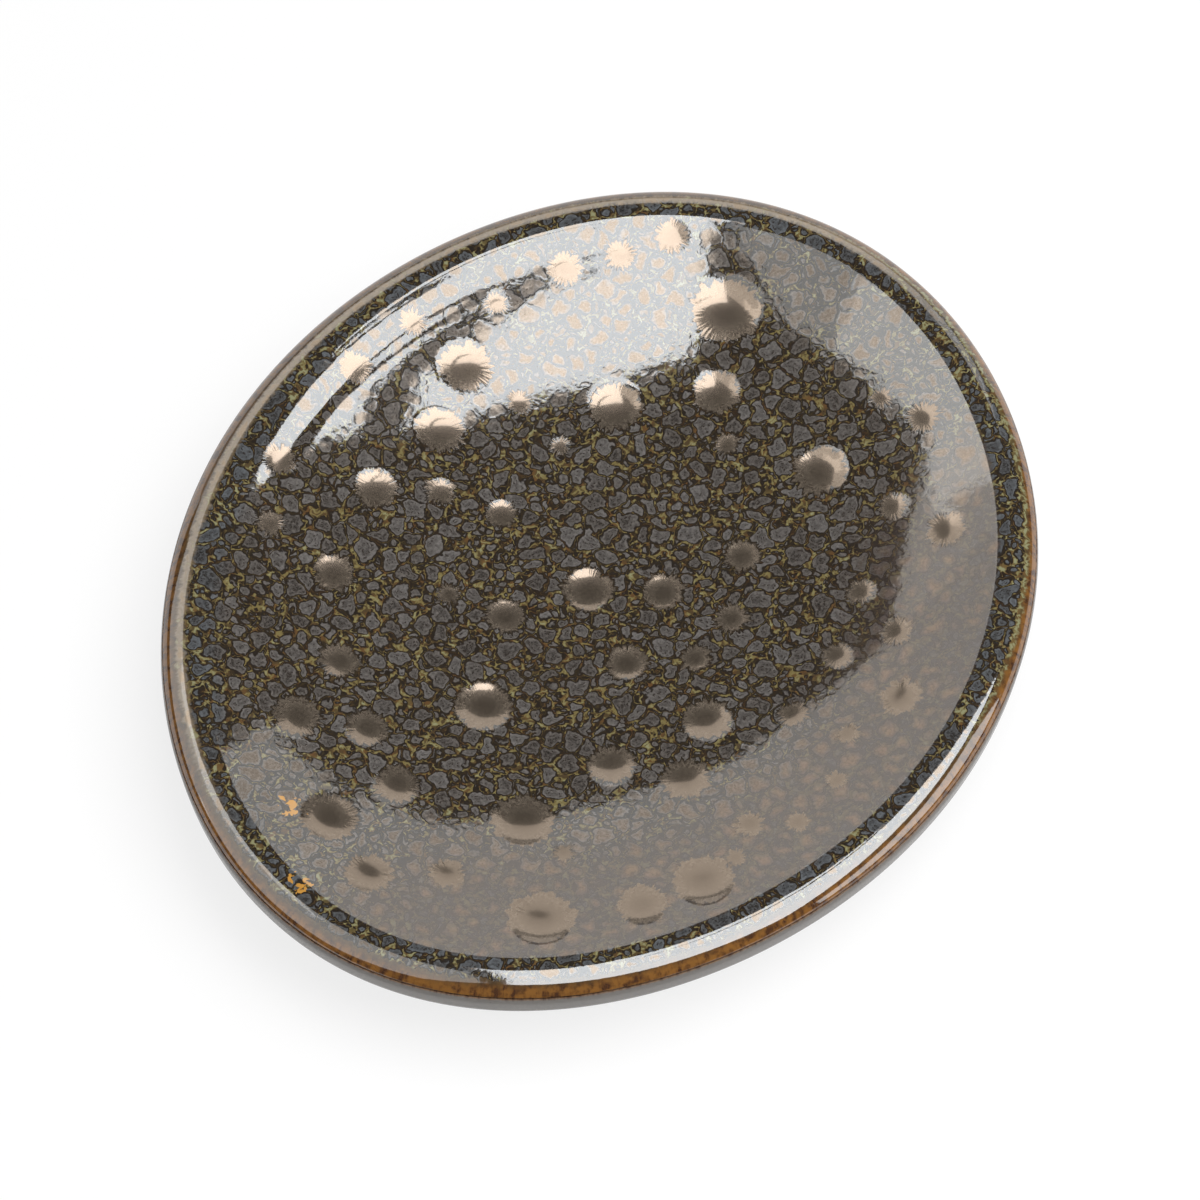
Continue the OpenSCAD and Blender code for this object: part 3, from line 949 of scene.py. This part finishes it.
class SOAPDISH_OT_studio(bpy.types.Operator):
    """Sets up the camera, the lamps, the white floor and the dark ceiling"""

    bl_idname = "soapdish.studio"
    bl_label = "Studio"

    def execute(self, context):
        studio = context.scene.soapdish_studio
        context.scene.view_settings.view_transform = "Standard"
        context.scene.camera = self.place_camera(studio)
        self.lay_floor()
        context.scene.world = self.light_room(studio)
        self.hang_ceiling(studio)
        self.hang_lamps(studio)
        return {"FINISHED"}

    def place_camera(self, studio):
        right, away = axes(studio)
        up = Vector((0, 0, 1))
        back = up * math.sin(studio.camera_high) - away * math.cos(studio.camera_high)
        data = bpy.data.cameras.new("photo_camera")
        data.lens = studio.lens
        data.sensor_width = FILM_WIDE
        data.clip_start, data.clip_end = CLIP_NEAR, CLIP_FAR
        camera = new_object("photo_camera", data)
        camera.location = Vector((0, 0, studio.aim_high)) + back * studio.camera_away
        camera.rotation_mode = "QUATERNION"
        camera.rotation_quaternion = (-back).to_track_quat("-Z", "Y")
        return camera

    def lay_floor(self):
        signs = ((-1, -1), (1, -1), (1, 1), (-1, 1))
        corners = [(x * FLOOR_HALF, y * FLOOR_HALF, FLOOR_BELOW) for x, y in signs]
        floor = new_object("studio_floor", new_mesh("studio_floor", corners, [(0, 1, 2, 3)]))

        def fill(r):
            paper = r.add("ShaderNodeBsdfDiffuse", None, {"Color": PAPER}).link()
            lit = r.blend(seen(r) * FLOOR_GLOW, paper, r.glow(WHITE, 1.0))
            clear = r.add("ShaderNodeBsdfTransparent").link()
            below = r.add("ShaderNodeNewGeometry").link("Backfacing")
            return r.blend(below, lit, clear)

        floor.data.materials.append(finish_of("studio_paper", fill))

    def light_room(self, studio):
        world = bpy.data.worlds.new("studio_room")
        world.use_nodes = True
        r = Recipe(world.node_tree)
        strength = seen(r) * (1 - studio.fill) + studio.fill
        room = r.add("ShaderNodeBackground", None, {"Color": (*WHITE, 1), "Strength": strength}).link()
        r.add("ShaderNodeOutputWorld", None, {"Surface": room})
        return world

    def hang_ceiling(self, studio):
        """A dark ceiling that only reflections see, high behind the dish and low behind the camera."""
        right, away = axes(studio)
        points, faces = [], []
        for row in range(CEILING_ROWS + 1):
            for column in range(CEILING_COLUMNS):
                turn = 2 * math.pi * column / CEILING_COLUMNS
                aside = math.degrees(min(turn, 2 * math.pi - turn))
                start, stop = RIGHT_OPENING if turn < math.pi else LEFT_OPENING
                behind = min(1.0, max(0.0, (stop - aside) / (stop - start)))
                low = math.radians(CEILING_LOW + CEILING_RISE * behind * behind * (3 - 2 * behind))
                high = low + (math.pi / 2 - low) * row / CEILING_ROWS
                level = right * math.sin(turn) + away * math.cos(turn)
                points.append(CEILING_FAR * (level * math.cos(high) + Vector((0, 0, math.sin(high)))))
        for row in range(CEILING_ROWS):
            for column in range(CEILING_COLUMNS):
                here = row * CEILING_COLUMNS + column
                after = row * CEILING_COLUMNS + (column + 1) % CEILING_COLUMNS
                faces.append((here, after, after + CEILING_COLUMNS, here + CEILING_COLUMNS))
        ceiling = new_object("dark_ceiling", new_mesh("dark_ceiling", points, faces))
        cloth = finish_of("dark_cloth", lambda r: r.glow(CEILING_TINT, studio.gloom))
        ceiling.data.materials.append(cloth)
        only_mirrored(ceiling)

    def hang_lamps(self, studio):
        """The softbox lights the dish. The panels beside it only show in the glaze."""
        self.softbox(studio)
        for name, (far, brightness, outline) in PANELS.items():
            self.panel(studio, name, outline, far, getattr(studio, brightness))
        bar = [(x * (1 - BAR_LEFT), y + (BAR_BEHIND - y) * BAR_BACK) for x, y in CROSSBAR]
        self.panel(studio, "softbox_crossbar", bar, BAR_FAR, studio.gloom).visible_shadow = True

    def panel(self, studio, name, outline, far, bright):
        right, away = axes(studio)
        corners = [raised(right * across + away * along) * far for across, along in outline]
        panel = new_object(name, new_mesh(name, corners, [tuple(range(len(outline)))]))
        panel.data.materials.append(finish_of(name + "_cloth", lambda r: r.glow(PANEL_TINT, bright)))
        only_mirrored(panel)
        return panel

    def softbox(self, studio):
        right, away = axes(studio)
        left, far_right, near, far = (math.asin(edge) for edge in (*SOFTBOX_ACROSS, *SOFTBOX_ALONG))
        aim = raised(right * math.sin((left + far_right) / 2) + away * math.sin((near + far) / 2))
        data = bpy.data.lights.new("main_softbox", "AREA")
        data.shape = "RECTANGLE"
        data.size = 2 * SOFTBOX_FAR * math.tan((far_right - left) / 2)
        data.size_y = 2 * SOFTBOX_FAR * math.tan((far - near) / 2)
        data.energy = studio.softbox * math.pi * data.size * data.size_y
        lamp = new_object("main_softbox", data)
        across = (right - aim * right.dot(aim)).normalized()
        turn = Matrix((across, aim.cross(across), aim)).transposed().to_4x4()
        lamp.matrix_world = Matrix.Translation(aim * SOFTBOX_FAR) @ turn
        lamp.visible_camera = False


class SOAPDISH_OT_inside_glaze(bpy.types.Operator):
    """Makes the speckled glaze that lines the bowl and rolls over the rim"""

    bl_idname = "soapdish.inside_glaze"
    bl_label = "Inside glaze"

    def execute(self, context):
        pebble, shell = begin(context, "inside_glaze")
        form = pebble.form
        shell.tip(pebble.bowl_middle_z(0))
        shell.fan(pebble.bowl_spots(0, FACE_RINGS), RING_GROWS * FACE_RINGS, pebble.press_face)
        shell.rings(pebble.rim_spots(0, form.meet, LAND_RINGS, LIP_RINGS), RING_GROWS * FACE_RINGS)
        count = RING_GROWS * BED_RINGS
        shell.rings(back(pebble.rim_spots(form.coat, form.meet)), count)
        shell.fan(back(pebble.bowl_spots(form.coat, BED_RINGS)), count, pebble.press)
        shell.tip(pebble.bowl_middle_z(form.coat))
        piece = shell.build("speckled_glaze_lining")
        seat(piece, "inside_glaze", speckled_finish(context.scene.soapdish_glaze, pebble))
        return {"FINISHED"}


class SOAPDISH_OT_outside_glaze(bpy.types.Operator):
    """Makes the grey glaze of the wall and the underside, wiped back short of the foot"""

    bl_idname = "soapdish.outside_glaze"
    bl_label = "Outside glaze"

    def execute(self, context):
        pebble, shell = begin(context, "outside_glaze")
        form = pebble.form
        roll_start = form.wipe_share + ROLL

        def wipe(points, at, turns):
            """The wiped line wanders a little, most where the glaze ends."""
            turn = np.radians(turns)
            wave = sum(strong * np.sin(swings * turn + start) for swings, start, strong in WAVES)
            near = np.clip((WANDER_START - at) / WANDER_GROWS, 0, 1)
            points[:, :2] *= (1 + WANDER * near * wave)[:, None]
            return points, np.full(len(points), NO_DIMPLE), np.ones((len(points), 2))

        shell.rings(pebble.lip_spots(0, EDGE_RINGS, form.meet - MEET_LAP, 1), WALL_POINTS)
        shell.ring((1, form.lean / 2, (pebble.edge_z + pebble.heel_z) / 2, 0), WALL_POINTS)
        shell.rings(pebble.heel_spots(0), WALL_POINTS)
        shell.rings(pebble.under_spots(0, 1, roll_start), WALL_POINTS, pebble.toasted, wipe)
        for turn in np.radians(ROLL_TURNS):
            at = form.wipe_share + ROLL * (1 - math.sin(turn))
            depth = form.coat * (1 - math.cos(turn))
            shell.ring((at, form.rim, pebble.under_z(at, depth), 0), WALL_POINTS, 1.0, wipe)
        shell.rings(pebble.under_spots(form.coat, roll_start, 1), WALL_POINTS, None, wipe)
        shell.rings(back(pebble.heel_spots(form.coat)), WALL_POINTS)
        shell.rings(back(pebble.lip_spots(form.coat, EDGE_RINGS, form.meet - MEET_LAP, 1)), WALL_POINTS)
        shell.close()
        piece = shell.build("grey_glaze_coat")
        seat(piece, "outside_glaze", grey_finish(context.scene.soapdish_glaze, pebble))
        return {"FINISHED"}


class SOAPDISH_OT_clay(bpy.types.Operator):
    """Makes the clay body with its turned foot ring"""

    bl_idname = "soapdish.clay"
    bl_label = "Stoneware body"

    def execute(self, context):
        pebble, shell = begin(context, "stoneware_body")
        form = pebble.form
        count = RING_GROWS * BED_RINGS
        shell.tip(pebble.bowl_middle_z(form.coat))
        shell.fan(pebble.bowl_spots(form.coat, BED_RINGS), count, pebble.press)
        shell.rings(pebble.rim_spots(form.coat, 1), count)
        shell.rings(pebble.heel_spots(form.coat), count)
        shell.rings(pebble.under_spots(form.coat, 1, form.wipe_share), count, pebble.toasted)
        shell.rings(pebble.foot_spots(), count)
        roof_share = form.foot_share - form.foot_wide / pebble.bowl_reach - FOOT_GAP
        for k in range(ROOF_RINGS, 0, -1):
            at = roof_share * k / ROOF_RINGS
            shell.ring((at, form.rim, pebble.under_z(at, form.coat), 0), RING_GROWS * max(k, 2))
        shell.tip(pebble.under_z(0, form.coat))
        piece = shell.build("fired_clay_body")
        seat(piece, "stoneware_body", clay_finish(context.scene.soapdish_clay))
        return {"FINISHED"}


class SOAPDISH_PT_panel(bpy.types.Panel):
    """Buttons for the parts of the dish and its studio"""

    bl_idname = "SOAPDISH_PT_panel"
    bl_label = "Soap Dish"
    bl_space_type = "VIEW_3D"
    bl_region_type = "UI"
    bl_category = "Soap Dish"

    def draw(self, context):
        for step in STEPS:
            self.layout.operator(step.bl_idname)
        for group, kind in GROUPS.items():
            box = self.layout.box()
            box.label(text=kind.__doc__)
            for key in kind.__annotations__:
                box.prop(getattr(context.scene, group), key)


STEPS = (SOAPDISH_OT_studio, SOAPDISH_OT_clay, SOAPDISH_OT_outside_glaze, SOAPDISH_OT_inside_glaze)
GROUPS = {
    "soapdish_form": DishForm,
    "soapdish_glaze": GlazeLook,
    "soapdish_clay": ClayLook,
    "soapdish_studio": StudioLook,
}
CLASSES = (*GROUPS.values(), *STEPS, SOAPDISH_PT_panel)


def register():
    for kind in CLASSES:
        bpy.utils.register_class(kind)
    for name, kind in GROUPS.items():
        setattr(bpy.types.Scene, name, PointerProperty(type=kind))


def unregister():
    for name in GROUPS:
        delattr(bpy.types.Scene, name)
    for kind in reversed(CLASSES):
        bpy.utils.unregister_class(kind)


def main():
    register()
    bpy.ops.soapdish.studio()
    bpy.ops.soapdish.clay()
    bpy.ops.soapdish.outside_glaze()
    bpy.ops.soapdish.inside_glaze()


if __name__ == "__main__":
    main()
